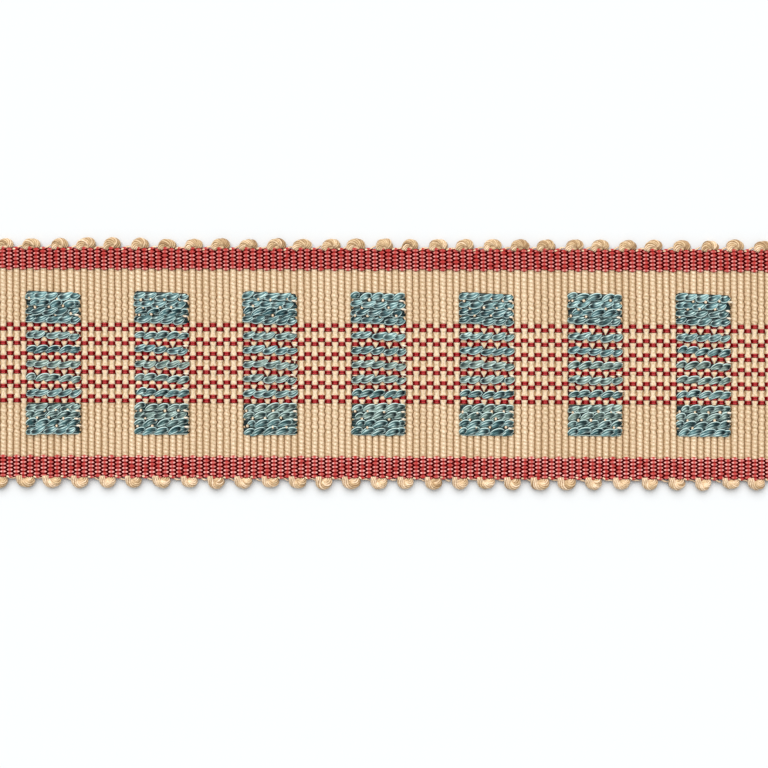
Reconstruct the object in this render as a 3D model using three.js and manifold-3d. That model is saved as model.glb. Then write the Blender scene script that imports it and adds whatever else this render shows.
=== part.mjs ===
// A cut length of woven braid trim, lying flat: a ribbed ground with a thicker border along each long
// edge, picot loops outside both borders, and thick float yarns that lie over the ribs in seven motifs.
// X runs along the braid, Y across it, and Z up from the surface that it lies on. Sizes are millimetres.
import * as THREE from "three";
import { mergeVertices } from "three/addons/utils/BufferGeometryUtils.js";
import Module from "manifold-3d";

// Ribs of the ground: each is one weft cord that crosses the braid.
const RIB_PITCH = 1.6875;
const RIB_COUNT = 120;
const CROWN_SHARE = 0.5; // part of a rib's pitch that its flat crown takes
const GROUND_HALF_WIDTH = 28.6;
const GROUND_GROOVE = 1.3;
const GROUND_CROWN = 1.9;

// The warp-faced border along each edge is thicker than the ground between them.
const BORDER_INNER_EDGE = 23.3;
const BORDER_RISE = 0.3;

// The weft leans a little from square, so the lower edge of the braid lies further along X.
const WEFT_LEAN = -0.01;

// Picots: every second turn of the weft stands out as a puffed loop, on a narrow strip of turned cord.
const EDGE_GAP = 0.3;
const STRIP_WIDTH = 0.7;
const STRIP_HEIGHT = 1.7;
const PICOT_RIBS = 4;
const PICOT_COUNT = 29;
const PICOT_HALF_WIDTH = 2.15;
const PICOT_HALF_HEIGHT = 1.1;
const PICOT_REACH = 2.85;
const PICOT_SIDES = 6;
// Shape of one picot from its root to its tip, as shares of its reach and of its half width.
const PICOT_SECTIONS = [
  { along: 0, spread: 0 },
  { along: 0.04, spread: 0.66 },
  { along: 0.5, spread: 1 },
  { along: 0.84, spread: 0.78 },
  { along: 1, spread: 0 },
];
const PICOT_EDGES = [
  { name: "upper", side: 1, firstGroove: -55 },
  { name: "lower", side: -1, firstGroove: -56 },
];

// Float yarns: each lies over eight ribs, in lobes of its twist.
const REPEAT_RIBS = 16;
const MOTIF_RIBS = 8;
const MOTIF_COUNT = 7;
const FLOAT_END_INSET = 0.3;
const FLOAT_LOBES = 4;
const LOBE_HALF_WIDTH = 1.12;
const NECK_HALF_WIDTH = 1.0;
const FLOAT_HALF_HEIGHT = 0.55;
const FLOAT_CLEARANCE = 0.3;
const BAR_PITCH = 3.57;
const BAR_COUNT = 5;
const BLOCK_YARNS = 4;
const BLOCK_PITCH = 1.95;
const BLOCKS = [
  { name: "upper", centre: 13.85 },
  { name: "lower", centre: -13.85 },
];

const CREAM = new THREE.MeshStandardMaterial({ color: 0xd9bb98, roughness: 0.85, metalness: 0 });
const PICOT_CREAM = new THREE.MeshStandardMaterial({ color: 0xd0ab7e, roughness: 0.9, metalness: 0 });
const TEAL = new THREE.MeshStandardMaterial({ color: 0x5f8583, roughness: 0.75, metalness: 0 });

const wasm = await Module();
wasm.setup();

// A closed geometry as a manifold-3d solid.
function solidOf(geometry) {
  const bare = geometry.clone();
  bare.deleteAttribute("normal");
  bare.deleteAttribute("uv");
  const merged = mergeVertices(bare);
  return new wasm.Manifold(
    new wasm.Mesh({
      numProp: 3,
      vertProperties: new Float32Array(merged.attributes.position.array),
      triVerts: new Uint32Array(merged.index.array),
    }),
  );
}

// A manifold-3d solid as a three.js geometry with flat normals.
function geometryOf(solid) {
  const mesh = solid.getMesh();
  const indexed = new THREE.BufferGeometry();
  indexed.setAttribute("position", new THREE.BufferAttribute(mesh.vertProperties, 3));
  indexed.setIndex(new THREE.BufferAttribute(mesh.triVerts, 1));
  const flat = indexed.toNonIndexed();
  flat.computeVertexNormals();
  return flat;
}

function joined(geometries) {
  const solids = geometries.map(solidOf);
  return geometryOf(solids.reduce((sum, next) => sum.add(next)));
}

// The lean turns every weft alike, so it is one shear of the finished piece.
function leaned(geometry) {
  return geometry.applyMatrix4(new THREE.Matrix4().makeShear(0, 0, WEFT_LEAN, 0, 0, 0));
}

function grooveX(index) {
  return index * RIB_PITCH;
}

// Ribs seen from the braid's edge: a flat foot, and a crown and a groove for each weft cord.
function ribProfile(rise) {
  const firstX = grooveX(-RIB_COUNT / 2);
  const lastX = grooveX(RIB_COUNT / 2);
  const slope = (RIB_PITCH * (1 - CROWN_SHARE)) / 2;
  const profile = new THREE.Shape();
  profile.moveTo(firstX, 0);
  profile.lineTo(lastX, 0);
  profile.lineTo(lastX, GROUND_GROOVE + rise);
  for (let rib = RIB_COUNT / 2 - 1; rib >= -RIB_COUNT / 2; rib -= 1) {
    profile.lineTo(grooveX(rib + 1) - slope, GROUND_CROWN + rise);
    profile.lineTo(grooveX(rib) + slope, GROUND_CROWN + rise);
    profile.lineTo(grooveX(rib), GROUND_GROOVE + rise);
  }
  return profile;
}

// The rib profile carried across the braid, from one Y to a higher one.
function ribbedBand(lowY, highY, rise) {
  const options = { depth: highY - lowY, bevelEnabled: false, steps: 1 };
  const band = new THREE.ExtrudeGeometry(ribProfile(rise), options);
  band.rotateX(Math.PI / 2);
  band.translate(0, highY, 0);
  return band;
}

function groundGeometry() {
  return joined([
    ribbedBand(-GROUND_HALF_WIDTH, GROUND_HALF_WIDTH, 0),
    ribbedBand(BORDER_INNER_EDGE, GROUND_HALF_WIDTH, BORDER_RISE),
    ribbedBand(-GROUND_HALF_WIDTH, -BORDER_INNER_EDGE, BORDER_RISE),
  ]);
}

// One puffed loop: narrow at its root, wide near its tip, and flattened to the braid's thickness.
function picotGeometry(centreX, rootY, side) {
  const outline = PICOT_SECTIONS.map((row) => new THREE.Vector2(row.spread, row.along * PICOT_REACH));
  const picot = new THREE.LatheGeometry(outline, PICOT_SIDES);
  picot.scale(PICOT_HALF_WIDTH, 1, PICOT_HALF_HEIGHT);
  if (side < 0) picot.rotateX(Math.PI);
  picot.translate(centreX, rootY, PICOT_HALF_HEIGHT);
  return picot;
}

function picotEdgeGeometry({ side, firstGroove }) {
  const rootY = side * (GROUND_HALF_WIDTH + EDGE_GAP);
  const strip = new THREE.BoxGeometry(RIB_COUNT * RIB_PITCH, STRIP_WIDTH, STRIP_HEIGHT);
  strip.translate(0, rootY + (side * STRIP_WIDTH) / 2, STRIP_HEIGHT / 2);
  const picots = Array.from({ length: PICOT_COUNT }, (_, index) =>
    picotGeometry(grooveX(firstGroove + index * PICOT_RIBS), rootY, side),
  );
  return joined([strip, ...picots]);
}

// One float yarn along X: lobes and necks in turn, square ends, and a flat top and foot.
function floatYarn(centreX, centreY) {
  const length = MOTIF_RIBS * RIB_PITCH - 2 * FLOAT_END_INSET;
  const lobeLength = length / FLOAT_LOBES;
  const outline = [new THREE.Vector2(0, 0), new THREE.Vector2(NECK_HALF_WIDTH, 0)];
  for (let lobe = 0; lobe < FLOAT_LOBES; lobe += 1) {
    outline.push(new THREE.Vector2(LOBE_HALF_WIDTH, (lobe + 0.5) * lobeLength));
    outline.push(new THREE.Vector2(NECK_HALF_WIDTH, (lobe + 1) * lobeLength));
  }
  outline.push(new THREE.Vector2(0, length));
  const squareSection = Math.SQRT2; // brings the four corners of a section out to its stated half width
  const yarn = new THREE.LatheGeometry(outline, 4, Math.PI / 4);
  yarn.scale(squareSection, 1, (squareSection * FLOAT_HALF_HEIGHT) / LOBE_HALF_WIDTH);
  yarn.rotateZ(-Math.PI / 2);
  const restHeight = GROUND_CROWN + FLOAT_CLEARANCE + FLOAT_HALF_HEIGHT;
  yarn.translate(centreX - length / 2, centreY, restHeight);
  return yarn;
}

function blockGeometry(centreX, centreY) {
  const middle = (BLOCK_YARNS - 1) / 2;
  const yarns = Array.from({ length: BLOCK_YARNS }, (_, index) =>
    floatYarn(centreX, centreY + (index - middle) * BLOCK_PITCH),
  );
  return joined(yarns);
}

function namedMesh(name, geometry, material) {
  const mesh = new THREE.Mesh(leaned(geometry), material);
  mesh.name = name;
  return mesh;
}

function motif(number) {
  const group = new THREE.Group();
  const centreX = grooveX((number - (MOTIF_COUNT + 1) / 2) * REPEAT_RIBS);
  for (const block of BLOCKS) {
    const geometry = blockGeometry(centreX, block.centre);
    group.add(namedMesh(`block_${block.name}_${number}`, geometry, TEAL));
  }
  for (let bar = 1; bar <= BAR_COUNT; bar += 1) {
    const centreY = ((BAR_COUNT + 1) / 2 - bar) * BAR_PITCH;
    group.add(namedMesh(`bar_${number}_${bar}`, floatYarn(centreX, centreY), TEAL));
  }
  return group;
}

const braid = new THREE.Group();
braid.add(namedMesh("ground", groundGeometry(), CREAM));
for (const edge of PICOT_EDGES) {
  braid.add(namedMesh(`picots_${edge.name}`, picotEdgeGeometry(edge), PICOT_CREAM));
}
for (let number = 1; number <= MOTIF_COUNT; number += 1) {
  braid.add(motif(number));
}

export default braid;
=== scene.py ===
"""A cut length of woven braid trim, yarn by yarn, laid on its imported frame.

The ground is a thin cloth with plied weft cords across it. Fine red warps weave over and under
the cords in a border along each edge and in check rows along the middle. Crimped ribbon yarns
float over eight cords at a time, and turns of the weft stand out along both edges as picots.
"""

import bpy
import numpy as np
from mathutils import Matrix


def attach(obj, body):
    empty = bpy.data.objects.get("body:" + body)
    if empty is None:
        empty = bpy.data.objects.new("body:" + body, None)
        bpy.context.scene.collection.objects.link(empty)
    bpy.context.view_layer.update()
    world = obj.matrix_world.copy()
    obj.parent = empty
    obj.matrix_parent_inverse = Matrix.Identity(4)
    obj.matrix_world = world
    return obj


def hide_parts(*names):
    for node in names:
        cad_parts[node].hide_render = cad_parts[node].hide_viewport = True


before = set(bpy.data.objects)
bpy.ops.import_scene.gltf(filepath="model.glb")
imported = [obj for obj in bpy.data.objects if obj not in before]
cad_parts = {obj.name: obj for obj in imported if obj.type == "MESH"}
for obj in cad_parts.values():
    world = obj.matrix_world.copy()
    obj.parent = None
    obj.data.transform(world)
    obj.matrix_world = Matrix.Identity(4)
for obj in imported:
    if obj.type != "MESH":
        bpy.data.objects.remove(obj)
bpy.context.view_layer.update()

MM = 0.001
TURN = 2 * np.pi
UP = np.array([0.0, 0.0, 1.0])

# The photograph's frame: the width that it takes in, its middle, and its turn in degrees.
PHOTO_WIDTH = 192 * MM
PHOTO_MIDDLE = (1.36 * MM, -5.08 * MM)
PHOTO_TURN = 0.21

# Weave, in metres. X runs along the braid, Y across it and Z up; cord 0 lies just right of X = 0.
CORD_PITCH = 1.6875 * MM
CORD_COUNT = 120
HALF_LENGTH = CORD_PITCH * CORD_COUNT / 2
HALF_WIDTH = 28.6 * MM
WEFT_LEAN = -0.007
WEFT_BOW = 0.13 * MM
CORD_CROWN = 1.9 * MM
CORD_FOOT = 0.45 * MM
CORD_HALF_WIDTH = 0.77 * MM
PLY_PITCH = 0.98 * MM
CLOTH_FOOT = 0.05 * MM
CLOTH_TOP = 0.8 * MM
CLOTH_RIPPLE = 0.1 * MM

# Motifs of float yarns: a block, the bars and another block. Sag is how far a yarn lies off its
# even place, towards the lower edge.
MOTIF_CORDS = 8
REPEAT_CORDS = 16
MOTIF_NUMBERS = range(1, 8)
MIDDLE_MOTIF = 4
FLOAT_HALF_LENGTH = MOTIF_CORDS * CORD_PITCH / 2
BAR_PITCH = 3.57 * MM
BAR_COUNT = 5
BAR_SAG = 0.33 * MM
BLOCK_CENTRE = 13.85 * MM
BLOCK_PITCH = 1.95 * MM
BLOCK_YARNS = 4
BLOCK_SAG = 0.15 * MM
BLOCKS_OUTER_EDGE = BLOCK_CENTRE + BLOCK_YARNS * BLOCK_PITCH / 2
FOLD_HEIGHT = 2.26 * MM
CORE_HEIGHT = 1.96 * MM

# Dye of each float yarn of a motif, from the upper edge down: hue from 0, blue teal, to 1, grey
# green, and lightness from 0 to 1.
FLOAT_DYES = [
    {"hue": 0.2, "light": 0.8},
    {"hue": 0.1, "light": 0.78},
    {"hue": 0.1, "light": 0.28},
    {"hue": 0.25, "light": 0.3},
    {"hue": 0.5, "light": 0.85},
    {"hue": 0.3, "light": 0.4},
    {"hue": 1.0, "light": 0.8},
    {"hue": 1.0, "light": 0.75},
    {"hue": 0.3, "light": 0.4},
    {"hue": 0.9, "light": 0.7},
    {"hue": 0.85, "light": 0.6},
    {"hue": 0.2, "light": 0.45},
    {"hue": 0.2, "light": 0.5},
]

# Red warps: both borders, and the check rows, which lie in pairs beside the bars. Top and foot are
# the heights of a warp's middle over a cord and under one.
BORDER_INNER_EDGE = 23.2 * MM
BORDER_ENDS = 12
BORDER_PITCH = 0.47 * MM
BORDER_TOP = 1.98 * MM
BORDER_FOOT = 0.42 * MM
CHECK_PAIRS = 6
CHECK_ROW_GAP = 1.04 * MM
CHECK_HALF_WIDTH = (CHECK_PAIRS - 0.5) * BAR_PITCH / 2
CHECK_END_SPREAD = 0.25 * MM
CHECK_TOP = 1.9 * MM
CHECK_FOOT = 0.5 * MM
WARP_PLY_PITCH = 0.5 * MM

# Picots: one at every fourth groove between cords, wound of nine strands.
PICOT_COUNT = 29
PICOT_CORDS = 4
PICOT_STRANDS = 9
PICOT_HEIGHT = 1.12 * MM
PICOT_WINDING = 0.82 * MM
PICOT_REST = 0.36 * MM
PICOT_EDGES = {
    "upper": {"side": 1, "first_groove": -55},
    "lower": {"side": -1, "first_groove": -56},
}

rng = np.random.default_rng(11)


def smooth_step(low, high, value):
    """Rises from 0 at low to 1 at high, as 3s^2 - 2s^3 of the share s."""
    share = np.clip((value - low) / (high - low), 0, 1)
    return share * share * (3 - 2 * share)


def between(least, most, shape):
    """Random numbers from least to most, evenly spread."""
    return least + (most - least) * rng.random(shape)


def unit(vectors):
    return vectors / np.linalg.norm(vectors, axis=-1, keepdims=True)


def leaned(points):
    """Moves points along X by lean * y + bow * cos(pi y / width), as the weft lies in the cloth."""
    points = points.copy()
    y = points[..., 1]
    points[..., 0] += WEFT_LEAN * y + WEFT_BOW * np.cos(np.pi * y / (2 * HALF_WIDTH))
    return points


def strand_frames(path, lift_hint):
    """Unit axes of strands: across is hint x tangent, and lift is tangent x across."""
    tangent = unit(np.gradient(path, axis=-2))
    across = unit(np.cross(lift_hint, tangent))
    return across, np.cross(tangent, across)


def strands(name, path, half_wide, half_thick, sides, lift_hint=UP, cup=0.0, shades=None,
            turn_length=MM, section_start=0.0):
    """One mesh of closed tubes, one along each path.

    path is (strand, step, xyz). A section is the ellipse across * half_wide * cos(a) + lift *
    half_thick * sin(a), with lift * cup * cos(a)^2 added, which turns up both edges of a flat
    strand. The UV map holds the distance along the strand over turn_length, from a random start
    within seven turns, and the angle a in turns. shades maps the name of an attribute to numbers
    for each strand and step. Where it has no tone, each strand gets a random one.
    """
    count, steps = path.shape[:2]
    half_wide = np.broadcast_to(half_wide, (count, steps))
    half_thick = np.broadcast_to(half_thick, (count, steps))
    across, lift = strand_frames(path, lift_hint)
    angle = TURN * (np.arange(sides) + section_start) / sides
    wide = half_wide[..., None] * np.cos(angle)
    thick = half_thick[..., None] * np.sin(angle) + cup * np.cos(angle) ** 2
    sideways = wide[..., None] * across[:, :, None]
    upward = thick[..., None] * lift[:, :, None]
    points = leaned(path[:, :, None] + sideways + upward).reshape(-1, 3)

    index = np.arange(count * steps * sides).reshape(count, steps, sides)
    after = np.roll(index, -1, axis=2)
    quads = np.stack([index[:, :-1], after[:, :-1], after[:, 1:], index[:, 1:]], axis=-1)
    caps = np.concatenate([index[:, 0, ::-1], index[:, -1]])

    step_length = np.linalg.norm(np.diff(path, axis=1), axis=2)
    start = 7 * turn_length * rng.random((count, 1))
    along = np.concatenate([start, start + np.cumsum(step_length, axis=1)], axis=1) / turn_length
    round_share = (np.arange(sides + 1) + section_start) / sides
    corner = np.stack(np.broadcast_arrays(along[..., None], round_share), axis=-1)
    near, far = corner[:, :-1], corner[:, 1:]
    quad_uv = np.stack([near[:, :, :-1], near[:, :, 1:], far[:, :, 1:], far[:, :, :-1]], axis=3)
    cap_uv = np.concatenate([corner[:, 0, -2::-1], corner[:, -1, :-1]])
    uv = np.concatenate([quad_uv.reshape(-1, 2), cap_uv.reshape(-1, 2)])

    shades = {"tone": rng.random((count, 1)), "depth": 0.0} | (shades or {})
    at_points = {
        shade: np.repeat(np.broadcast_to(values, (count, steps)).ravel(), sides)
        for shade, values in shades.items()
    }
    return mesh_piece(name, points, quads.reshape(-1, 4), caps, uv, at_points)


def mesh_piece(name, points, quads, caps, uv, shades):
    """A smooth mesh object at the origin, from points, quads, flat end caps and corner UVs.

    shades maps the name of an attribute to one number for each point.
    """
    mesh = bpy.data.meshes.new(name)
    corners = np.concatenate([quads.ravel(), caps.ravel()])
    quad_starts = np.arange(len(quads)) * 4
    cap_starts = quads.size + np.arange(len(caps)) * caps.shape[1]
    starts = np.concatenate([quad_starts, cap_starts])
    mesh.vertices.add(len(points))
    mesh.vertices.foreach_set("co", points.ravel())
    mesh.loops.add(len(corners))
    mesh.loops.foreach_set("vertex_index", corners)
    mesh.polygons.add(len(starts))
    mesh.polygons.foreach_set("loop_start", starts)
    mesh.update(calc_edges=True)
    smooth = np.arange(len(starts)) < len(quads)
    mesh.polygons.foreach_set("use_smooth", smooth)
    mesh.uv_layers.new(name="strand").data.foreach_set("uv", uv.ravel())
    for shade, values in shades.items():
        mesh.attributes.new(shade, "FLOAT", "POINT").data.foreach_set("value", values)
    mesh.validate()
    piece = bpy.data.objects.new(name, mesh)
    bpy.context.collection.objects.link(piece)
    return piece


def finished(piece, material):
    piece.data.materials.append(material)
    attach(piece, "root")
    return piece


# Camera and light


def add_camera():
    """Looks straight down on the middle of the photograph's frame, turned by a hair."""
    data = bpy.data.cameras.new("camera")
    data.lens = 100
    data.sensor_width = 36
    distance = PHOTO_WIDTH * data.lens / data.sensor_width
    camera = bpy.data.objects.new("camera", data)
    camera.location = (*PHOTO_MIDDLE, distance)
    camera.rotation_euler = (0, 0, np.radians(PHOTO_TURN))
    bpy.context.collection.objects.link(camera)
    bpy.context.scene.camera = camera


def add_sun(name, height, bearing, softness, strength):
    """A wide even light, from its height above the floor and its bearing from +X, in degrees."""
    data = bpy.data.lights.new(name, "SUN")
    data.angle = np.radians(softness)
    data.energy = strength
    light = bpy.data.objects.new(name, data)
    light.rotation_euler = (0, np.radians(90 - height), np.radians(bearing))
    bpy.context.collection.objects.link(light)


def add_light():
    scene = bpy.context.scene
    scene.view_settings.view_transform = "Standard"
    scene.world = bpy.data.worlds.new("studio")
    scene.world.use_nodes = True
    background = scene.world.node_tree.nodes["Background"]
    background.inputs["Color"].default_value = (0.95, 0.98, 1.0, 1)
    background.inputs["Strength"].default_value = 0.64
    add_sun("soft_light", height=56, bearing=100, softness=56, strength=2.9)


def add_floor():
    bpy.ops.mesh.primitive_plane_add(size=3.0, location=(0, 0, 0))
    floor = bpy.context.object
    floor.name = "floor"
    material, _, _ = new_material("floor_paper", (0.712, 0.721, 0.723), roughness=0.9)
    floor.data.materials.append(material)


# Materials


def srgb(red, green, blue):
    """The linear colour of three numbers from 0 to 255, by the sRGB curve."""
    value = np.array([red, green, blue]) / 255
    linear = np.where(value <= 0.04045, value / 12.92, ((value + 0.055) / 1.055) ** 2.4)
    return tuple(float(x) for x in linear)


WHITE = (1.0, 1.0, 1.0)
# Ground colour behind the borders and bars, and painted shade on cords that lie under red yarn.
DEEP_RED = srgb(98, 4, 4)
# Painted shade at both ends of the peeps.
DARK_BROWN = srgb(34, 24, 12)


def new_material(name, colour, roughness):
    """A material with one Principled shader, and its node tree and shader."""
    material = bpy.data.materials.new(name)
    material.use_nodes = True
    tree = material.node_tree
    shader = tree.nodes["Principled BSDF"]
    shader.inputs["Base Color"].default_value = (*colour, 1)
    shader.inputs["Roughness"].default_value = roughness
    return material, tree, shader


def feed(tree, socket, value):
    """Sets an input to a number or a linear colour, or links another node's output to it."""
    if isinstance(value, bpy.types.NodeSocket):
        tree.links.new(value, socket)
    elif isinstance(value, tuple):
        socket.default_value = (*value, 1)
    else:
        socket.default_value = value


def math_node(tree, operation, *values):
    """A Math node, with numbers or sockets for its inputs."""
    node = tree.nodes.new("ShaderNodeMath")
    node.operation = operation
    for socket, value in zip(node.inputs, values):
        feed(tree, socket, value)
    return node.outputs[0]


def ramp_node(tree, share, stops):
    """A colour ramp over share, with stops of (position, linear colour)."""
    node = tree.nodes.new("ShaderNodeValToRGB")
    tree.links.new(share, node.inputs["Fac"])
    elements = node.color_ramp.elements
    while len(elements) < len(stops):
        elements.new(0.5)
    for element, (position, colour) in zip(elements, stops):
        element.position = position
        element.color = (*colour, 1)
    return node.outputs["Color"]


def share_ramp(tree, share, *stops):
    """A grey ramp over share, with stops of (position, share from 0 to 1)."""
    return ramp_node(tree, share, [(position, (grey, grey, grey)) for position, grey in stops])


def blend_node(tree, mode, share, first, second):
    """A Mix node for colours: share is a number or a socket, the others are colours or sockets."""
    node = tree.nodes.new("ShaderNodeMix")
    node.data_type = "RGBA"
    node.blend_type = mode
    for slot, value in {0: share, 6: first, 7: second}.items():
        feed(tree, node.inputs[slot], value)
    return node.outputs[2]


def noise_node(tree, vector, scale, detail):
    node = tree.nodes.new("ShaderNodeTexNoise")
    node.inputs["Scale"].default_value = scale
    node.inputs["Detail"].default_value = detail
    tree.links.new(vector, node.inputs["Vector"])
    return node.outputs["Fac"]


def object_place(tree):
    return tree.nodes.new("ShaderNodeTexCoord").outputs["Object"]


def strand_place(tree):
    """Sockets for the distance along a strand, in turns, and for the share of the way round it."""
    uv = tree.nodes.new("ShaderNodeUVMap")
    uv.uv_map = "strand"
    split = tree.nodes.new("ShaderNodeSeparateXYZ")
    tree.links.new(uv.outputs["UV"], split.inputs["Vector"])
    return split.outputs["X"], split.outputs["Y"]


def shade_value(tree, name):
    """Socket for a number that the mesh keeps at its points, such as tone or depth."""
    node = tree.nodes.new("ShaderNodeAttribute")
    node.attribute_name = name
    return node.outputs["Fac"]


def side_place(tree):
    """Which side of a strand a point is on: cos a, 0 on its top and foot, 1 and -1 at its sides."""
    around = strand_place(tree)[1]
    return math_node(tree, "COSINE", math_node(tree, "MULTIPLY", around, TURN))


def side_share(tree):
    """How far round to the sides of a strand a point is: |cos a|."""
    return math_node(tree, "ABSOLUTE", side_place(tree))


def border_share(tree, inset):
    """1 within the borders, from a little inside their inner edges outward, and 0 between them."""
    split = tree.nodes.new("ShaderNodeSeparateXYZ")
    tree.links.new(object_place(tree), split.inputs["Vector"])
    across = math_node(tree, "ABSOLUTE", split.outputs["Y"])
    return math_node(tree, "GREATER_THAN", across, BORDER_INNER_EDGE + inset)


def set_bump(tree, shader, height, distance):
    bump = tree.nodes.new("ShaderNodeBump")
    bump.inputs["Strength"].default_value = 1.0
    bump.inputs["Distance"].default_value = distance
    tree.links.new(height, bump.inputs["Height"])
    tree.links.new(bump.outputs["Normal"], shader.inputs["Normal"])


def ply_height(tree, plies, fibre_count, fibre_weight, wander=0.0):
    """Height of the plies round a cord: |sin| of pi times (turns + plies x share round).

    Fine fibres are added as a sine of fibre_count waves a turn. wander shifts the plies along the
    cord by noise, in turns, so that their spacing varies.
    """
    along, around = strand_place(tree)
    phase = math_node(tree, "ADD", along, math_node(tree, "MULTIPLY", around, plies))
    if wander:
        unevenness = noise_node(tree, object_place(tree), 260, 1)
        phase = math_node(tree, "ADD", phase, math_node(tree, "MULTIPLY", unevenness, wander))
    wave = math_node(tree, "SINE", math_node(tree, "MULTIPLY", phase, np.pi))
    ridge = math_node(tree, "ABSOLUTE", wave)
    fibre_wave = math_node(tree, "SINE", math_node(tree, "MULTIPLY", phase, fibre_count * TURN))
    return math_node(tree, "ADD", ridge, math_node(tree, "MULTIPLY", fibre_wave, fibre_weight))


def cream_cord_material(name, lightness, dark_colour):
    """Plied cream cord: a painted highlight on the crest of each ply, and painted shade of tan
    between the plies and down its sides.

    Where the cord's attributes say so, its plies are pressed flat (plain), it is tinged by red yarn
    beside it (blush), it is mixed towards pale by painted light (bright), or it lies under other
    yarn and gets painted shade of dark_colour, as it does within the borders. lightness mixes the
    whole cord towards near white, as painted light on its paler copies.
    """
    material, tree, shader = new_material(name, srgb(228, 203, 170), roughness=0.65)
    height = ply_height(tree, plies=1, fibre_count=5, fibre_weight=0.05, wander=0.9)
    pressed = math_node(tree, "MULTIPLY", shade_value(tree, "plain"), 0.7)
    standing = math_node(tree, "MULTIPLY", height, math_node(tree, "SUBTRACT", 1.0, pressed))
    height = math_node(tree, "ADD", standing, math_node(tree, "MULTIPLY", pressed, 0.85))
    # Painted shade: the dips between the plies are darker tan than their crests.
    colour = ramp_node(tree, height, [
        (0.0, srgb(196, 167, 134)),
        (0.32, srgb(217, 190, 159)),
        (1.0, srgb(230, 204, 174)),
    ])
    side = side_share(tree)
    # Painted highlight: pale on the crest of each ply, along the middle of the cord.
    ply_crest = share_ramp(tree, height, (0.75, 0), (0.98, 0.6))
    cord_crest = share_ramp(tree, side, (0.1, 1), (0.38, 0))
    crest = blend_node(tree, "MULTIPLY", 1.0, ply_crest, cord_crest)
    colour = blend_node(tree, "MIX", crest, colour, srgb(255, 242, 216))
    # Painted shade: darker down both sides of the cord, less where its plies are pressed flat.
    flank = ramp_node(tree, side, [
        (0.4, WHITE),
        (0.8, (0.97, 0.94, 0.9)),
        (1.0, (0.95, 0.89, 0.78)),
    ])
    flattened = math_node(tree, "MULTIPLY", shade_value(tree, "plain"), 0.6)
    flank_share = math_node(tree, "SUBTRACT", 1.0, flattened)
    colour = blend_node(tree, "MULTIPLY", flank_share, colour, flank)
    cord_tone = ramp_node(tree, shade_value(tree, "tone"), [(0.0, (0.9, 0.87, 0.83)), (1.0, WHITE)])
    colour = blend_node(tree, "MULTIPLY", 1.0, colour, cord_tone)
    # Painted light: lightness mixes the paler copies of this material towards near white.
    colour = blend_node(tree, "MIX", lightness, colour, srgb(255, 250, 238))
    # Painted light: bright mixes cords in the check rows towards pale, palest at their sides.
    painted_lit_colour = ramp_node(tree, side, [(0.1, srgb(238, 214, 172)), (0.6, srgb(255, 242, 222))])
    colour = blend_node(tree, "MIX", shade_value(tree, "bright"), colour, painted_lit_colour)
    speckle = noise_node(tree, object_place(tree), 2200, 3)
    wear_and_glint_fade = ramp_node(tree, speckle, [(0.38, (0.72, 0.7, 0.59)), (0.54, WHITE)])
    colour = blend_node(tree, "MULTIPLY", 0.9, colour, wear_and_glint_fade)
    blush = ramp_node(tree, shade_value(tree, "blush"), [(0.0, WHITE), (1.0, (1.0, 0.88, 0.82))])
    colour = blend_node(tree, "MULTIPLY", 1.0, colour, blush)
    # Painted shade: dark_colour within the borders and where the mesh marks yarn lying under other
    # yarn.
    dark = math_node(tree, "MAXIMUM", border_share(tree, 0.3 * MM), shade_value(tree, "painted_shade"))
    colour = blend_node(tree, "MIX", dark, colour, dark_colour)
    tree.links.new(colour, shader.inputs["Base Color"])
    set_bump(tree, shader, height, 0.045 * MM)
    shader.inputs["Specular IOR Level"].default_value = 0.05
    return material


def red_yarn_material(name, low, high, dive, hidden):
    """Fine silky red yarn: painted glints on both shoulders of a crest, and painted shade of dark
    maroon where it dives.

    low and high are its colours between and on its plies, so the dips between plies get a little
    painted shade. Its colours start to fall into painted shade at the depth dive and are gone at
    hidden, and tone says how pale its painted glints are.
    """
    material, tree, shader = new_material(name, srgb(176, 48, 44), roughness=0.42)
    height = ply_height(tree, plies=2, fibre_count=3, fibre_weight=0.08)
    # Painted shade: a little darker in the dips between the plies.
    colour = ramp_node(tree, height, [(0.0, low), (0.7, high)])
    # Painted highlight: pale glints on the ridge and shoulders of each crest, patchy, scaled by
    # tone.
    ridge = share_ramp(tree, side_share(tree), (0.4, 1), (0.74, 0))
    depth = shade_value(tree, "depth")
    shoulder = share_ramp(tree, depth, (0.0, 0.12), (0.003, 0.2), (0.01, 1), (0.07, 1), (0.13, 0))
    glint = blend_node(tree, "MULTIPLY", 1.0, ridge, shoulder)
    patchy = share_ramp(tree, noise_node(tree, object_place(tree), 800, 1), (0.36, 0.2), (0.5, 1))
    glint = blend_node(tree, "MULTIPLY", 1.0, glint, patchy)
    glint = math_node(tree, "MULTIPLY", glint, shade_value(tree, "tone"))
    colour = blend_node(tree, "MIX", glint, colour, srgb(255, 200, 190))
    # Painted shade: dark maroon as the yarn dives between the cords.
    fall = ramp_node(tree, depth, [
        (dive, WHITE),
        ((dive + hidden) / 2, (0.5, 0.2, 0.2)),
        (hidden, (0.36, 0.01, 0.01)),
    ])
    colour = blend_node(tree, "MULTIPLY", 1.0, colour, fall)
    tree.links.new(colour, shader.inputs["Base Color"])
    set_bump(tree, shader, height, 0.02 * MM)
    shader.inputs["Specular IOR Level"].default_value = 0.03
    return material


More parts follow.
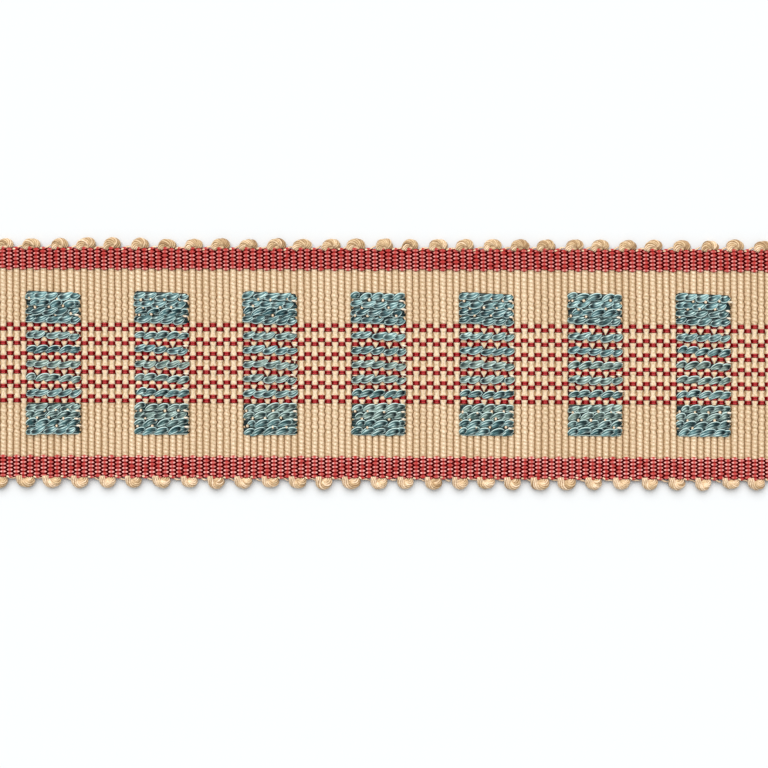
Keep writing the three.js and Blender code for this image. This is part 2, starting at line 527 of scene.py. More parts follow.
def teal_ribbon_material():
    """Crimped ribbon yarn in its dye, with plies and fine streaks along it, and painted highlights
    on its edges.

    A place in the plies is the fraction of 2.2 x share across + 1.1 x streak: it has painted shade
    at 0 and 1, and a painted highlight near a half. Each fold has painted shade inside its left
    end, where depth says so. Its lower edge has a pale painted highlight from end to end, and its
    upper edge near the left end of each fold, where the mesh says so.
    """
    material, tree, shader = new_material("teal_ribbon", srgb(100, 134, 132), roughness=0.5)
    pale = srgb(206, 228, 222)
    light = shade_value(tree, "tone")
    blue = ramp_node(tree, light, [(0.0, srgb(48, 90, 96)), (1.0, srgb(124, 164, 166))])
    grey = ramp_node(tree, light, [(0.0, srgb(78, 102, 94)), (1.0, srgb(148, 164, 152))])
    body = blend_node(tree, "MIX", shade_value(tree, "hue"), blue, grey)
    along, around = strand_place(tree)
    place = tree.nodes.new("ShaderNodeCombineXYZ")
    tree.links.new(math_node(tree, "MULTIPLY", along, 0.5), place.inputs["X"])
    tree.links.new(math_node(tree, "MULTIPLY", around, 8.0), place.inputs["Y"])
    seed = math_node(tree, "MULTIPLY", shade_value(tree, "seed"), 90.0)
    tree.links.new(seed, place.inputs["Z"])
    streak = noise_node(tree, place.outputs["Vector"], 1.0, 1)
    dark_streak = ramp_node(tree, streak, [(0.34, (0.3, 0.4, 0.42)), (0.5, WHITE)])
    colour = blend_node(tree, "MULTIPLY", 1.0, body, dark_streak)
    across = math_node(tree, "MULTIPLY_ADD", side_place(tree), 0.5, 0.5)
    spread = math_node(tree, "MULTIPLY", across, 2.2)
    ply = math_node(tree, "FRACT", math_node(tree, "MULTIPLY_ADD", streak, 1.1, spread))
    # Painted shade in the grooves between the plies.
    groove = (0.06, 0.15, 0.17)
    plies = ramp_node(tree, ply, [(0.0, groove), (0.18, WHITE), (0.9, WHITE), (1.0, groove)])
    colour = blend_node(tree, "MULTIPLY", 0.8, colour, plies)
    # Painted highlight on the crest of each ply, where the streak is lit.
    crest = share_ramp(tree, ply, (0.34, 0), (0.46, 1), (0.6, 1), (0.72, 0))
    lit = share_ramp(tree, streak, (0.4, 0), (0.54, 1))
    pale_streak = blend_node(tree, "MULTIPLY", 1.0, crest, lit)
    colour = blend_node(tree, "MIX", pale_streak, colour, pale)
    # Painted shade inside the left end of each fold, and over the dark cores.
    inside = share_ramp(tree, across, (0.16, 0.1), (0.32, 1))
    shade = blend_node(tree, "MULTIPLY", 1.0, inside, shade_value(tree, "depth"))
    colour = blend_node(tree, "MIX", shade, colour, srgb(4, 20, 24))
    # Painted highlights along the ribbon's lower edge, and its upper edge near each fold's left
    # end.
    low_rim = share_ramp(tree, across, (0.06, 1), (0.11, 0))
    high_rim = share_ramp(tree, across, (0.86, 0), (0.91, 1))
    high_rim = blend_node(tree, "MULTIPLY", 1.0, high_rim, shade_value(tree, "upper_rim_glint"))
    rim = blend_node(tree, "ADD", 1.0, low_rim, high_rim)
    colour = blend_node(tree, "MIX", rim, colour, pale)
    tree.links.new(colour, shader.inputs["Base Color"])
    set_bump(tree, shader, streak, 0.06 * MM)
    shader.inputs["Specular IOR Level"].default_value = 0.12
    return material


def picot_material():
    """Soft beige loop yarn: painted shade of brown between its strands, and where depth marks it
    under.
    """
    material, tree, shader = new_material("picot_yarn", srgb(216, 184, 142), roughness=0.8)
    colour = ramp_node(tree, shade_value(tree, "tone"), [
        (0.0, srgb(176, 140, 98)),
        (0.5, srgb(218, 187, 144)),
        (1.0, srgb(250, 222, 188)),
    ])
    speckle = noise_node(tree, object_place(tree), 1500, 2)
    wear_and_glint_fade = ramp_node(tree, speckle, [(0.36, (0.66, 0.6, 0.52)), (0.6, WHITE)])
    colour = blend_node(tree, "MULTIPLY", 0.7, colour, wear_and_glint_fade)
    # Painted shade at the sides of each strand, which shows between the strands.
    flank = ramp_node(tree, side_share(tree), [(0.5, WHITE), (0.95, (0.58, 0.45, 0.32))])
    colour = blend_node(tree, "MULTIPLY", 1.0, colour, flank)
    # Painted shade where the depth attribute marks yarn turned under.
    under = ramp_node(tree, shade_value(tree, "depth"), [(0.55, WHITE), (0.85, (0.6, 0.5, 0.38))])
    colour = blend_node(tree, "MULTIPLY", 1.0, colour, under)
    tree.links.new(colour, shader.inputs["Base Color"])
    height = ply_height(tree, plies=2, fibre_count=4, fibre_weight=0.1)
    set_bump(tree, shader, height, 0.04 * MM)
    shader.inputs["Sheen Weight"].default_value = 0.2
    return material


def ground_material():
    """The cloth behind the cords: tan, but deep red behind the borders and the bars."""
    material, tree, shader = new_material("ground_cloth", srgb(176, 142, 104), roughness=0.9)
    split = tree.nodes.new("ShaderNodeSeparateXYZ")
    tree.links.new(object_place(tree), split.inputs["Vector"])
    off_motif = math_node(tree, "PINGPONG", split.outputs["X"], REPEAT_CORDS * CORD_PITCH / 2)
    in_motif = math_node(tree, "LESS_THAN", off_motif, FLOAT_HALF_LENGTH)
    off_middle = math_node(tree, "ABSOLUTE", split.outputs["Y"])
    in_checks = math_node(tree, "LESS_THAN", off_middle, CHECK_HALF_WIDTH)
    behind_bars = math_node(tree, "MULTIPLY", in_motif, in_checks)
    red = math_node(tree, "MAXIMUM", border_share(tree, 0.0), behind_bars)
    colour = blend_node(tree, "MIX", red, srgb(190, 158, 116), DEEP_RED)
    tree.links.new(colour, shader.inputs["Base Color"])
    set_bump(tree, shader, noise_node(tree, object_place(tree), 2200, 2), 0.05 * MM)
    return material


# Ground cloth and weft cords


def cord_x(number):
    """X of a cord's middle, from its number: 0 lies just right of the braid's middle."""
    return (number + 0.5) * CORD_PITCH


def motif_x(number):
    """X of a motif's middle, from its number."""
    return (number - MIDDLE_MOTIF) * REPEAT_CORDS * CORD_PITCH


def lies_in_motif(cord):
    """True for the numbers of the cords under the motifs."""
    return (cord + MOTIF_CORDS // 2) % REPEAT_CORDS < MOTIF_CORDS


def check_row_places():
    """Y of each check row, and the parity of the cords that it covers, for both rows of a pair."""
    pair = ((CHECK_PAIRS - 1) / 2 - np.arange(CHECK_PAIRS)) * BAR_PITCH
    places = np.stack([pair + CHECK_ROW_GAP / 2, pair - CHECK_ROW_GAP / 2], axis=1).ravel()
    covered = np.tile([1, 0], CHECK_PAIRS)
    return places, covered


def make_ground_cloth(material):
    """A thin closed sheet under the cords: a box of grid points with a rippled top.

    The height of its top is CLOTH_TOP + CLOTH_RIPPLE * |cos(pi x / cord pitch)|.
    """
    columns, rows = 241, 24
    x = np.linspace(-HALF_LENGTH, HALF_LENGTH, columns)
    y = np.linspace(-HALF_WIDTH, HALF_WIDTH, rows)
    grid_x, grid_y = np.meshgrid(x, y, indexing="ij")
    top = CLOTH_TOP + CLOTH_RIPPLE * np.abs(np.cos(np.pi * grid_x / CORD_PITCH))
    foot = np.full_like(top, CLOTH_FOOT)
    faces = [np.stack([grid_x, grid_y, height], axis=-1) for height in (top, foot)]
    points = leaned(np.stack(faces).reshape(-1, 3))

    upper, lower = np.arange(2 * columns * rows).reshape(2, columns, rows)
    quads = [
        np.stack([upper[:-1, :-1], upper[1:, :-1], upper[1:, 1:], upper[:-1, 1:]], axis=-1),
        np.stack([lower[:-1, :-1], lower[:-1, 1:], lower[1:, 1:], lower[1:, :-1]], axis=-1),
    ]
    rims = [
        (upper[:, 0], lower[:, 0]),
        (upper[-1], lower[-1]),
        (upper[::-1, -1], lower[::-1, -1]),
        (upper[0, ::-1], lower[0, ::-1]),
    ]
    for high, low in rims:
        quads.append(np.stack([low[:-1], low[1:], high[1:], high[:-1]], axis=-1))
    quads = np.concatenate([quad.reshape(-1, 4) for quad in quads])
    uv = points[quads.ravel()][:, :2] / MM
    piece = mesh_piece("ground_cloth", points, quads, np.zeros((0, 4), int), uv, {})
    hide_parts("ground")
    return finished(piece, material)


def cord_steps():
    """Y of the steps along a weft cord: close together where red and float yarns shape it."""
    half = np.concatenate([
        np.linspace(0, CHECK_HALF_WIDTH, 34)[:-1],
        np.linspace(CHECK_HALF_WIDTH, BLOCKS_OUTER_EDGE, 17)[:-1],
        np.linspace(BLOCKS_OUTER_EDGE, BORDER_INNER_EDGE, 5)[:-1],
        np.linspace(BORDER_INNER_EDGE, HALF_WIDTH, 5),
    ])
    return np.concatenate([-half[:0:-1], half])


def cord_shape(number, y):
    """Half width and crown height of the weft cords, and the shares for their material.

    At a pair of check rows the half width is 0.86 mm. Between two pairs it falls in a smooth step
    to a neck of 0.59 mm, whose middle lies 0.32 mm from halfway, towards the middle of the cord's
    bare stretch. In the motifs, on the side of a pair away from the row that covers the cord, it
    falls to 0.14 mm where the cord dives beside a float yarn. Beside the float blocks it is 0.77 mm
    plus 0.16 mm times a cosine with the yarns' pitch, in turn from cord to cord. The crown sinks
    under a check row by 0.32 mm in a bell curve, and under the borders by 0.16 mm.
    """
    off = np.abs(y)
    in_checks = 1 - smooth_step(CHECK_HALF_WIDTH - 0.6 * MM, CHECK_HALF_WIDTH + 0.6 * MM, off)
    past_blocks = smooth_step(BLOCKS_OUTER_EDGE - 0.8 * MM, BLOCKS_OUTER_EDGE + 0.8 * MM, off)
    in_blocks = (1 - past_blocks) * (1 - in_checks)
    phase = TURN * (off - BLOCK_CENTRE) / BLOCK_PITCH + np.pi * number
    in_motif = lies_in_motif(number)
    off_pair = y % BAR_PITCH - BAR_PITCH / 2
    bare_side = in_motif & ((off_pair > 0) == (number % 2 == 0))
    shift = np.where(number % 2 == 1, 0.32 * MM, -0.32 * MM)
    off_cover = (y - shift) % BAR_PITCH - BAR_PITCH / 2
    neck = 0.27 * smooth_step(0.75 * MM, 1.45 * MM, np.abs(off_cover))
    tip = 0.72 * smooth_step(0.15 * MM, 1.6 * MM, np.abs(off_pair))
    pinch = 0.09 - np.where(bare_side, tip, neck)
    swell = MM * (in_checks * pinch + 0.16 * in_blocks * np.cos(phase))
    half_wide = CORD_HALF_WIDTH + swell
    half_wide = half_wide - 0.05 * MM * smooth_step(0, 1.5 * MM, off - BORDER_INNER_EDGE)
    crown = CORD_CROWN + 0.25 * swell + 0.1 * MM * in_checks * in_motif
    blush = 0.25 * in_checks * in_motif
    # Painted shade: where a check row covers the cord, deep red stands in for the dark under it.
    painted_shade = np.zeros_like(crown)
    for place, parity in zip(*check_row_places()):
        covered_here = number % 2 == parity
        sunk = np.exp(-(((y - place) / (0.48 * MM)) ** 2)) * covered_here
        crown = crown - 0.32 * MM * sunk
        half_wide = half_wide - 0.05 * MM * sunk
        blush = blush + np.exp(-(((y - place) / (0.8 * MM)) ** 4)) * covered_here
        painted_shade = painted_shade + np.exp(-(((y - place) / (0.5 * MM)) ** 6)) * covered_here
    crown = crown - 0.16 * MM * smooth_step(-0.4 * MM, 0.4 * MM, off - BORDER_INNER_EDGE)
    shades = {
        "plain": in_checks,
        "blush": np.clip(blush, 0, 1),
        "painted_shade": painted_shade,
        # Painted light: check-row cords are lifted towards pale, most under the motifs.
        "bright": in_checks * np.where(in_motif, 0.7, 0.3),
    }
    return half_wide, crown, shades


def make_weft_cords(name, numbers, material):
    """Plied cords across the braid: ellipses whose width and crown follow cord_shape.

    Each sways along X by 0.03 mm times a sine of Y.
    """
    y = cord_steps()[None, :]
    number = numbers[:, None]
    half_wide, crown, shades = cord_shape(number, y)
    half_wide = half_wide * (1 + 0.03 * rng.standard_normal((len(numbers), 1)))
    sway = 0.03 * MM * np.sin(TURN * (y / (31 * MM) + rng.random((len(numbers), 1))))
    half_thick = (crown - CORD_FOOT) / 2
    middle_line = np.broadcast_arrays(cord_x(number) + sway, y, CORD_FOOT + half_thick)
    piece = strands(name, np.stack(middle_line, axis=-1), half_wide, half_thick, 9, shades=shades,
                    turn_length=PLY_PITCH, section_start=0.5)
    return finished(piece, material)


# Red warps


def woven_path(y, over_parity, top, foot):
    """Paths of warp ends that pass over cords of one parity and under the rest, from end to end.

    Height is the middle plus half the rise times tanh(2.6 c) / tanh(2.6), where c is the cosine
    with twice the cords' pitch. The steps lie close together over a cord and far apart under one.
    Returns the path, that share of height, and c: both run from -1 under a cord to 1 over one.
    """
    over = np.array([-0.46, -0.34, -0.18, 0, 0.18, 0.34, 0.46])
    under = np.array([-0.3, 0, 0.3])
    over_first = np.concatenate([over, 1 + under])
    under_first = np.concatenate([under, 1 + over])
    offsets = np.where(over_parity[:, None] == 0, over_first, under_first)
    pairs = 2 * np.arange(CORD_COUNT // 2) - CORD_COUNT // 2
    x = cord_x(pairs[None, :, None] + offsets[:, None, :]).reshape(len(y), -1)
    tail = 0.4 * MM + 0.6 * MM * rng.random((len(y), 2))
    x = np.concatenate([-HALF_LENGTH - tail[:, :1], x, HALF_LENGTH + tail[:, 1:]], axis=1)
    wave = np.cos(np.pi * (x - cord_x(over_parity[:, None])) / CORD_PITCH)
    level = np.tanh(2.6 * wave) / np.tanh(2.6)
    level[:, [0, -1]] = -0.2
    z = (top[:, None] + foot[:, None]) / 2 + level * (top[:, None] - foot[:, None]) / 2
    return np.stack([x, np.broadcast_to(y[:, None], x.shape), z], axis=-1), level, wave


def make_border(name, material, side, innermost_parity, shine):
    """Warp ends in plain weave: each is wide where it lies over a cord and narrow where it dives.

    The half width is pitch * (0.38 + 0.64 s), where s rises from 0 to 1 in a smooth step as the
    cosine of woven_path rises from 0.45 to 1. The outermost ends lie up to 0.22 mm lower, and their
    painted glints are weaker.
    """
    order = np.arange(BORDER_ENDS)
    off = BORDER_INNER_EDGE + (order + 0.5) * BORDER_PITCH
    off[-1] -= 0.12 * MM
    parity = (order + innermost_parity) % 2
    top = BORDER_TOP - 0.22 * MM * smooth_step(BORDER_ENDS - 3.5, BORDER_ENDS, order + 0.5)
    foot = np.full(BORDER_ENDS, BORDER_FOOT)
    path, level, wave = woven_path(side * off, parity, top, foot)
    half_wide = BORDER_PITCH * (0.38 + 0.64 * smooth_step(0.45, 1.0, wave))
    half_wide[-1] *= 0.8
    half_thick = np.full(level.shape, 0.19 * MM)
    # Painted highlight: the glints fade on the outermost ends, where the edge turns down.
    wear_and_glint_fade = 1 - 0.6 * smooth_step(BORDER_ENDS - 4, BORDER_ENDS - 1, order)
    tone = shine * wear_and_glint_fade[:, None] * (0.7 + 0.3 * rng.random((BORDER_ENDS, 1)))
    shades = {"tone": tone, "depth": (1 - level) / 2}
    piece = strands(name, path, half_wide, half_thick, 7, shades=shades,
                    turn_length=WARP_PLY_PITCH, section_start=0.25)
    return finished(piece, material)


def make_check_rows(material):
    """Each check row is two fine warp ends side by side, over every second cord.

    Their half width grows with height, from 0.17 mm under a cord to 0.26 mm over one.
    """
    places, covered = check_row_places()
    y = np.concatenate([places + CHECK_END_SPREAD, places - CHECK_END_SPREAD])
    parity = np.concatenate([covered, covered])
    path, level, _ = woven_path(y, parity, np.full(len(y), CHECK_TOP), np.full(len(y), CHECK_FOOT))
    half_wide = 0.17 * MM + 0.09 * MM * (level + 1) / 2
    half_thick = np.full(level.shape, 0.15 * MM)
    shades = {"tone": 0.08 * rng.random((len(y), 1)), "depth": (1 - level) / 2}
    piece = strands("check_rows", path, half_wide, half_thick, 5, shades=shades,
                    turn_length=WARP_PLY_PITCH, section_start=0.25)
    return finished(piece, material)


# Float yarns


def float_places():
    """Y of the even place of each float yarn of a motif: a block, the bars and another block."""
    block = ((BLOCK_YARNS - 1) / 2 - np.arange(BLOCK_YARNS)) * BLOCK_PITCH
    bars = ((BAR_COUNT - 1) / 2 - np.arange(BAR_COUNT)) * BAR_PITCH
    return np.concatenate([BLOCK_CENTRE + block, bars, -BLOCK_CENTRE + block])


def lies_in_block(y0):
    """True for the float yarns of a block, which lie beyond the bars."""
    return np.abs(y0) > BAR_COUNT * BAR_PITCH / 2


def float_sag(y0):
    """How far each float yarn lies off its even place, towards the lower edge."""
    return np.where(lies_in_block(y0), BLOCK_SAG, BAR_SAG)


def float_lean(y0):
    """Slope of each float yarn: 1 in 20 down to the right in the upper half, and less below it."""
    return -0.05 * np.clip(1 + y0 / (10 * MM), 0, 1)


def fold_ends(y0):
    """Yarn, start and end along the float of the five folds of each float yarn of a motif.

    The yarn dips at every second cord, so its folds are two cords long, but for short ones at both
    ends. Each reaches a little past the start of the next. In the blocks the dips of a yarn are
    shifted by chance.
    """
    starts = np.array([0, 1.15, 2.9, 4.65, 6.4])
    lengths = np.array([1.7, 2.1, 2.1, 2.1, 1.6])
    shape = (len(y0), len(starts))
    shift = lies_in_block(y0) * (rng.random(len(y0)) - 0.6)
    left = starts + (shift[:, None] + 0.12 * rng.standard_normal(shape)) * (starts > 0)
    right = np.minimum(left + lengths + 0.15 * rng.standard_normal(shape), MOTIF_CORDS)
    yarn = np.repeat(np.arange(len(y0)), len(starts))
    places = np.stack([left, right]).reshape(2, -1, 1) * CORD_PITCH - FLOAT_HALF_LENGTH
    return yarn, places[0], places[1]


def make_floats(number, material):
    """Crimped float yarns: slanted leaf-shaped folds, each over the last one's end, on a core in
    painted shade.

    A fold's half width is W (0.08 + 0.92 sin(pi u)) (1 - 0.2 s) for steps u from 0 to 1, spaced
    along it by s = (1 - cos(pi u)) / 2. Its middle line rises from left to right by a straight
    slope less a half sine wave, and sinks towards its right end. Some yarns are turned half round
    in the plane of the braid, which puts their edges with painted highlights at the top. Both ends
    of each float dive between the cords.
    """
    y0 = float_places()
    yarn, left, right = fold_ends(y0)
    each_fold = (len(yarn), 1)
    step = np.linspace(0, 1, 13)[None, :]
    share = (1 - np.cos(np.pi * step)) / 2

    turned_share = np.interp(y0, [-BLOCK_CENTRE, 0, BLOCK_CENTRE], [0.85, 0.5, 0.2])
    turned = rng.random(len(y0)) < turned_share
    turn = np.where(turned, -1, 1)[yarn][:, None]
    back = np.where(lies_in_block(y0), 0.3 * MM, 0.1 * MM)[yarn][:, None]
    x = turn * (left + (right - left) * share) - back
    drift_start = rng.random(len(y0))[yarn][:, None]
    drift = 0.12 * MM * np.sin(TURN * (x / (17 * MM) + drift_start))
    drift = float_lean(y0)[yarn][:, None] * x + drift
    slope = between(1.0 * MM, 1.6 * MM, each_fold) * (right - left) / (3.6 * MM)
    crimp = between(0.2 * MM, 0.42 * MM, each_fold) * np.sin(np.pi * share)
    rise = slope * (share - 0.5) - crimp
    middle_y = (y0 - float_sag(y0))[yarn][:, None]
    y = middle_y + drift + turn * (rise + between(0.04 * MM, 0.3 * MM, each_fold))
    ends = FLOAT_HALF_LENGTH - 0.6 * MM, FLOAT_HALF_LENGTH + 0.1 * MM
    dive = smooth_step(*ends, np.abs(x + 0.2 * MM))
    tilt = between(0.35 * MM, 0.55 * MM, each_fold) * (0.5 - share)
    z = FOLD_HEIGHT + tilt - 0.8 * MM * dive
    wide = between(0.84 * MM, 1.04 * MM, each_fold) * (0.08 + 0.92 * np.sin(np.pi * step))
    wide = wide * (1 - 0.2 * share)

    hue = np.array([dye["hue"] for dye in FLOAT_DYES]) + 0.1 * rng.standard_normal(len(y0))
    light = np.array([dye["light"] for dye in FLOAT_DYES]) + 0.08 * rng.standard_normal(len(y0))
    fold_light = light[yarn][:, None] + 0.14 * rng.standard_normal(each_fold)
    # depth marks painted shade inside each fold's left end, and the last entry a painted highlight
    # on its upper edge.
    shades = {
        "tone": np.clip(fold_light + 0.2 * (share - 0.5), 0, 1),
        "hue": np.clip(hue, 0, 1)[yarn][:, None],
        "seed": rng.random(each_fold),
        "depth": (between(0.8, 1.0, each_fold) * smooth_step(0.04, 0.12, share)
                  * (1 - smooth_step(0.25, 0.62, share))),
        "upper_rim_glint": 1 - smooth_step(0.12, 0.35, share),
    }
    hint = np.stack(np.broadcast_arrays(0.0, 0.2 * turn, 1.0), axis=-1)
    path = np.stack([motif_x(number) + x, y, z], axis=-1)
    piece = strands(f"float_yarns_{number}", path, wide, 0.1 * MM, 8, lift_hint=hint,
                    cup=0.12 * MM, shades=shades)
    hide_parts(f"block_upper_{number}", f"block_lower_{number}",
                *[f"bar_{number}_{bar}" for bar in range(1, BAR_COUNT + 1)])
    finished(piece, material)
    return piece, make_float_cores(number, y0, material)


def make_float_cores(number, y0, material):
    """A strand in painted shade under each float's folds, so wide in the blocks that it meets the
    next.

    It runs straight, and both ends dive by 0.9 mm in a smooth step.
    """
    along = np.linspace(-1, 1, 26) * (FLOAT_HALF_LENGTH - 0.1 * MM) - 0.1 * MM
    ends = FLOAT_HALF_LENGTH - 0.5 * MM, FLOAT_HALF_LENGTH + 0.1 * MM
    dive = smooth_step(*ends, np.abs(along + 0.1 * MM))
    y = (y0 - float_sag(y0))[:, None] + float_lean(y0)[:, None] * along
    z = CORE_HEIGHT - 0.9 * MM * dive
    path = np.stack(np.broadcast_arrays(motif_x(number) + along, y, z), axis=-1)
    half_wide = np.where(lies_in_block(y0), 0.5 * BLOCK_PITCH, 0.6 * MM)[:, None]
    # Painted shade: tone 0 and a depth of 0.85 make the whole core dark.
    shades = {"tone": 0.0, "hue": 0.3, "seed": 0.5, "depth": 0.85, "upper_rim_glint": 0.0}
    core = strands(f"float_cores_{number}", path, half_wide * (1 - 0.15 * dive), 0.22 * MM, 6,
                   shades=shades)
    return finished(core, material)


# Picots


def picot_x(first_groove):
    """X of the groove behind each picot of an edge."""
    return cord_x(first_groove + PICOT_CORDS * np.arange(PICOT_COUNT) - 0.5)


def make_picots(name, material, side, first_groove, spread, reach, lean, paleness):
    """Loops of soft twisted yarn: each leaves the edge, arches out and comes back.

    The yarn's middle follows an arch, X by -cos(q) and the distance out by sin(q)^0.75 for q from 0
    to pi. Its strands wind round that line: each lies at r (cos(f) across + sin(f) up), where f
    grows evenly with q. The floor flattens the yarn from below.
    """
    steps = 16
    each_loop = (PICOT_COUNT, 1, 1)
    q = np.linspace(0, np.pi, steps)[None, None, :]
    middle = picot_x(first_groove)[:, None, None] + between(-0.6 * MM, 0.0, each_loop)
    root = 1 - smooth_step(0, 0.8, q)
    full = between(0.92, 1.08, each_loop) * (1 - 0.35 * root)
    full = full * (1 - 0.25 * smooth_step(2.6, np.pi, q))
    arch = spread * between(0.88, 1.12, each_loop) * np.cos(q)
    x = middle - arch + lean * between(0.2, 1.8, each_loop) * (np.sin(q) - 0.4)
    out = reach * between(0.86, 1.14, each_loop) * np.maximum(np.sin(q), 0) ** 0.75
    y = side * (HALF_WIDTH + out - 0.4 * MM * root)
    z = PICOT_HEIGHT + 0.75 * MM * root
    line = np.stack(np.broadcast_arrays(x, y, z), axis=-1)
    across = unit(np.cross(UP, np.gradient(line, axis=2)))
    strand = np.arange(PICOT_STRANDS)[None, :, None] / PICOT_STRANDS
    first_turn = between(0.0, 1.0, each_loop)
    turn = TURN * (strand + first_turn + between(0.6, 1.0, each_loop) * q / np.pi)
    outward = np.cos(turn)[..., None] * across + np.sin(turn)[..., None] * UP
    uneven = 1 + 0.08 * rng.standard_normal((PICOT_COUNT, PICOT_STRANDS, 1))
    winding = (PICOT_WINDING * full * uneven)[..., None] * outward
    path = (line + winding).reshape(-1, steps, 3)
    path[..., 2] = np.maximum(path[..., 2], PICOT_REST)
    root = np.broadcast_to(root, turn.shape).reshape(-1, steps)
    full = np.broadcast_to(full, turn.shape).reshape(-1, steps)
    # Painted highlight: paler near the root, where the loop rises over the edge.
    tone = np.clip(paleness + 0.5 * root + 0.25 * rng.standard_normal((len(path), 1)), 0, 1)
    piece = strands(name, path, 0.31 * MM * full, 0.28 * MM * full, 6,
                    lift_hint=outward.reshape(-1, steps, 3), shades={"tone": tone},
                    turn_length=0.6 * MM)
    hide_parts(name.replace("picot_loops", "picots"))
    return finished(piece, material)


def make_picot_hearts(name, material, side, first_groove, out):
    """The yarn inside each picot: a short fat strand along the edge that fills the loop.

    For s from -1 to 1, X runs 1.25 mm * s from the middle, the distance out falls by 0.25 mm * s^2,
    and the half width is 0.72 mm * sqrt(1.04 - s^2).
    """
    share = np.linspace(-1, 1, 7)[None, :]
    x = picot_x(first_groove)[:, None] - 0.3 * MM + 1.25 * MM * share
    y = side * (HALF_WIDTH + out - 0.25 * MM * share**2)
    path = np.stack(np.broadcast_arrays(x, y, 1.15 * MM), axis=-1)
    half_wide = 0.72 * MM * np.sqrt(1.04 - share**2)
    shades = {"tone": 0.3 + 0.4 * rng.random((PICOT_COUNT, 1))}
    piece = strands(name, path, half_wide, 0.8 * half_wide, 7, turn_length=0.8 * MM, shades=shades)
    return finished(piece, material)


def make_edge_turns(name, material, side, first_groove):
    """Turns of the weft between the picots: each crosses the outermost warps and slants out.

    For s from 0 to 1, X runs evenly for 2.6 to 3.1 mm, the distance out is 0.9 s - 0.3 mm with a
    small sine wave, the height falls in a smooth step, and the half width is the root of a sine
    times 1 - 0.35 s.
    """
    turns = PICOT_COUNT + 1
    each_turn = (turns, 1)
    share = np.linspace(0, 1, 9)[None, :]
    cords = first_groove + PICOT_CORDS * (np.arange(turns) - 1) + 1
    start = cord_x(cords)[:, None] - 0.8 * MM
    reach = (2.6 + 0.5 * rng.random(each_turn)) * MM
    x = np.clip(start + share * reach, -HALF_LENGTH, HALF_LENGTH)
    out = MM * (-0.3 + 0.9 * share + 0.16 * np.sin(TURN * (share + rng.random(each_turn))))
    z = MM * (1.05 + 0.75 * (1 - smooth_step(0.1, 0.6, share)))
    path = np.stack(np.broadcast_arrays(x, side * (HALF_WIDTH + out), z), axis=-1)
    half_wide = 0.34 * MM * (1 - 0.35 * share) * np.sin(np.pi * (0.12 + 0.8 * share)) ** 0.5
    shades = {"tone": 0.8 + 0.2 * rng.random(each_turn)}
    piece = strands(name, path, half_wide, 0.26 * MM, 7, turn_length=0.8 * MM, shades=shades)
    return finished(piece, material)


def make_cream_slivers(material):
    """Short turns of the weft in painted light, over the right-hand end of the bars and in the
    blocks' gaps.

    For s from 0 to 1, each rises by 0.45 mm * sin(pi s), and its half width is 0.08 mm + 0.19 mm *
    sin(pi s).
    """
    block = (np.arange(BLOCK_YARNS - 1) - 1) * BLOCK_PITCH
    bars = ((BAR_COUNT - 1) / 2 - np.arange(BAR_COUNT)) * BAR_PITCH + 0.8 * MM
    y = np.concatenate([BLOCK_CENTRE + block - 0.2 * MM, bars, -BLOCK_CENTRE + block])
    middle_x = motif_x(np.array(MOTIF_NUMBERS))
    start_x = np.repeat(middle_x + FLOAT_HALF_LENGTH - 1.5 * MM, len(y))
    y = np.tile(y, len(middle_x))
    shown = (np.abs(y) < CHECK_HALF_WIDTH) | (rng.random(len(y)) < 0.7)
    start_x = start_x[shown] + 0.2 * MM * rng.standard_normal(shown.sum())
    y = y[shown] + 0.12 * MM * rng.standard_normal(shown.sum())
    share = np.linspace(0, 1, 7)[None, :]
    length = (1.1 + 0.4 * rng.random((len(y), 1))) * MM
    x = start_x[:, None] + share * length
    drop = 0.3 * MM * rng.random((len(y), 1)) * share
    z = 2.4 * MM + 0.45 * MM * np.sin(np.pi * share)
    path = np.stack(np.broadcast_arrays(x, y[:, None] - drop, z), axis=-1)
    taper = 0.08 * MM + 0.19 * MM * np.sin(np.pi * share)
    piece = strands("cream_slivers", path, taper, taper, 6, turn_length=0.6 * MM,
                    shades={"tone": 1.0})
    return finished(piece, material)


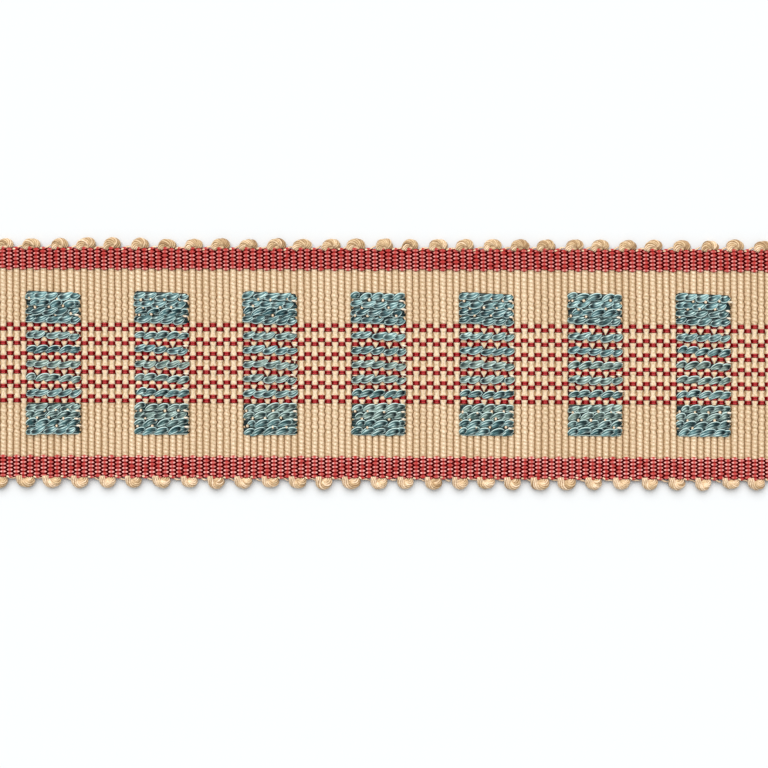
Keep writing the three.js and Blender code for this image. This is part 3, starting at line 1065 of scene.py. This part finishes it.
def make_cream_peeps(material):
    """Gaps between two block float yarns: a cord's crest in the middle, painted shade at both ends.

    They lie over every second cord, by turns from gap to gap, and some are shut. For s from -1 to
    1, the half width is a peep's own width times (1.06 - s^2)^0.7.
    """
    gap_y = (BLOCK_YARNS / 2 - np.arange(1, BLOCK_YARNS)) * BLOCK_PITCH
    open_share = np.array([0.7, 0.85, 0.4])
    sides = np.array([1, -1])
    first_cords = (np.array(MOTIF_NUMBERS) - MIDDLE_MOTIF) * REPEAT_CORDS
    cords = np.arange(-MOTIF_CORDS // 2, MOTIF_CORDS // 2 - 1)
    side, gap, first, cord = np.meshgrid(
        sides, np.arange(len(gap_y)), first_cords, cords, indexing="ij")
    shown = (cord % 2 == gap % 2) & (rng.random(cord.shape) < open_share[gap])
    count = shown.sum()
    each_peep = (count, 1)
    x = cord_x(first[shown] + cord[shown] - 0.1 + 0.15 * rng.standard_normal(count))[:, None]
    y = side[shown] * BLOCK_CENTRE + gap_y[gap[shown]] + 0.1 * MM * rng.standard_normal(count)
    share = np.linspace(-1, 1, 9)[None, :]
    reach = (0.5 + 0.2 * rng.random(each_peep)) * MM
    slant = 0.15 * MM * rng.standard_normal(each_peep)
    z = 2.42 * MM + 0.1 * MM * np.exp(-((share / 0.45) ** 4))
    path = np.broadcast_arrays(x + reach * share, y[:, None] - slant * share, z)
    taper = (0.26 + 0.14 * rng.random(each_peep)) * MM * (1.06 - share**2) ** 0.7
    # Painted shade at both ends of each peep.
    shades = {"tone": rng.random(each_peep), "painted_shade": smooth_step(0.36, 0.5, np.abs(share))}
    piece = strands("cream_peeps", np.stack(path, axis=-1), taper, 0.12 * MM, 6,
                    turn_length=0.6 * MM, shades=shades)
    return finished(piece, material)


def make_all():
    # DEEP_RED is painted shade on cord within the borders and under the check rows.
    cream = cream_cord_material("cream_cord", 0.0, DEEP_RED)
    # Lighter copies of the cream cord: painted light on the slivers and peeps, and DARK_BROWN
    # painted shade at the peeps' ends.
    pale_cream = cream_cord_material("pale_cream_cord", 0.55, DARK_BROWN)
    shaded_cream = cream_cord_material("shaded_cream_cord", 0.2, DARK_BROWN)
    border_red = red_yarn_material("border_red_yarn", srgb(156, 32, 31), srgb(180, 52, 48),
                                   dive=0.13, hidden=0.27)
    check_red = red_yarn_material("check_red_yarn", srgb(146, 34, 38), srgb(176, 58, 60),
                                  dive=0.01, hidden=0.045)
    teal = teal_ribbon_material()
    beige = picot_material()
    numbers = np.arange(-CORD_COUNT // 2, CORD_COUNT // 2)
    in_motif = lies_in_motif(numbers)
    upper, lower = PICOT_EDGES["upper"], PICOT_EDGES["lower"]
    cloth = make_ground_cloth(ground_material())
    pieces = [
        make_weft_cords("weft_cords_under_motifs", numbers[in_motif], cream),
        make_weft_cords("weft_cords_between_motifs", numbers[~in_motif], cream),
        make_border("border_upper", border_red, side=1, innermost_parity=1, shine=0.7),
        make_border("border_lower", border_red, side=-1, innermost_parity=0, shine=1.0),
        make_check_rows(check_red),
    ]
    for number in MOTIF_NUMBERS:
        pieces += make_floats(number, teal)
    pieces += [
        make_cream_slivers(pale_cream),
        make_cream_peeps(shaded_cream),
        make_picots("picot_loops_upper", beige, **upper, spread=1.45 * MM, reach=1.42 * MM,
                    lean=0.4 * MM, paleness=0.4),
        make_picots("picot_loops_lower", beige, **lower, spread=1.35 * MM, reach=1.65 * MM,
                    lean=0.1 * MM, paleness=0.75),
        make_picot_hearts("picot_hearts_upper", beige, **upper, out=0.35 * MM),
        make_picot_hearts("picot_hearts_lower", beige, **lower, out=0.5 * MM),
        make_edge_turns("edge_turns_upper", beige, **upper),
        make_edge_turns("edge_turns_lower", beige, **lower),
    ]


add_camera()
add_light()
add_floor()
make_all()
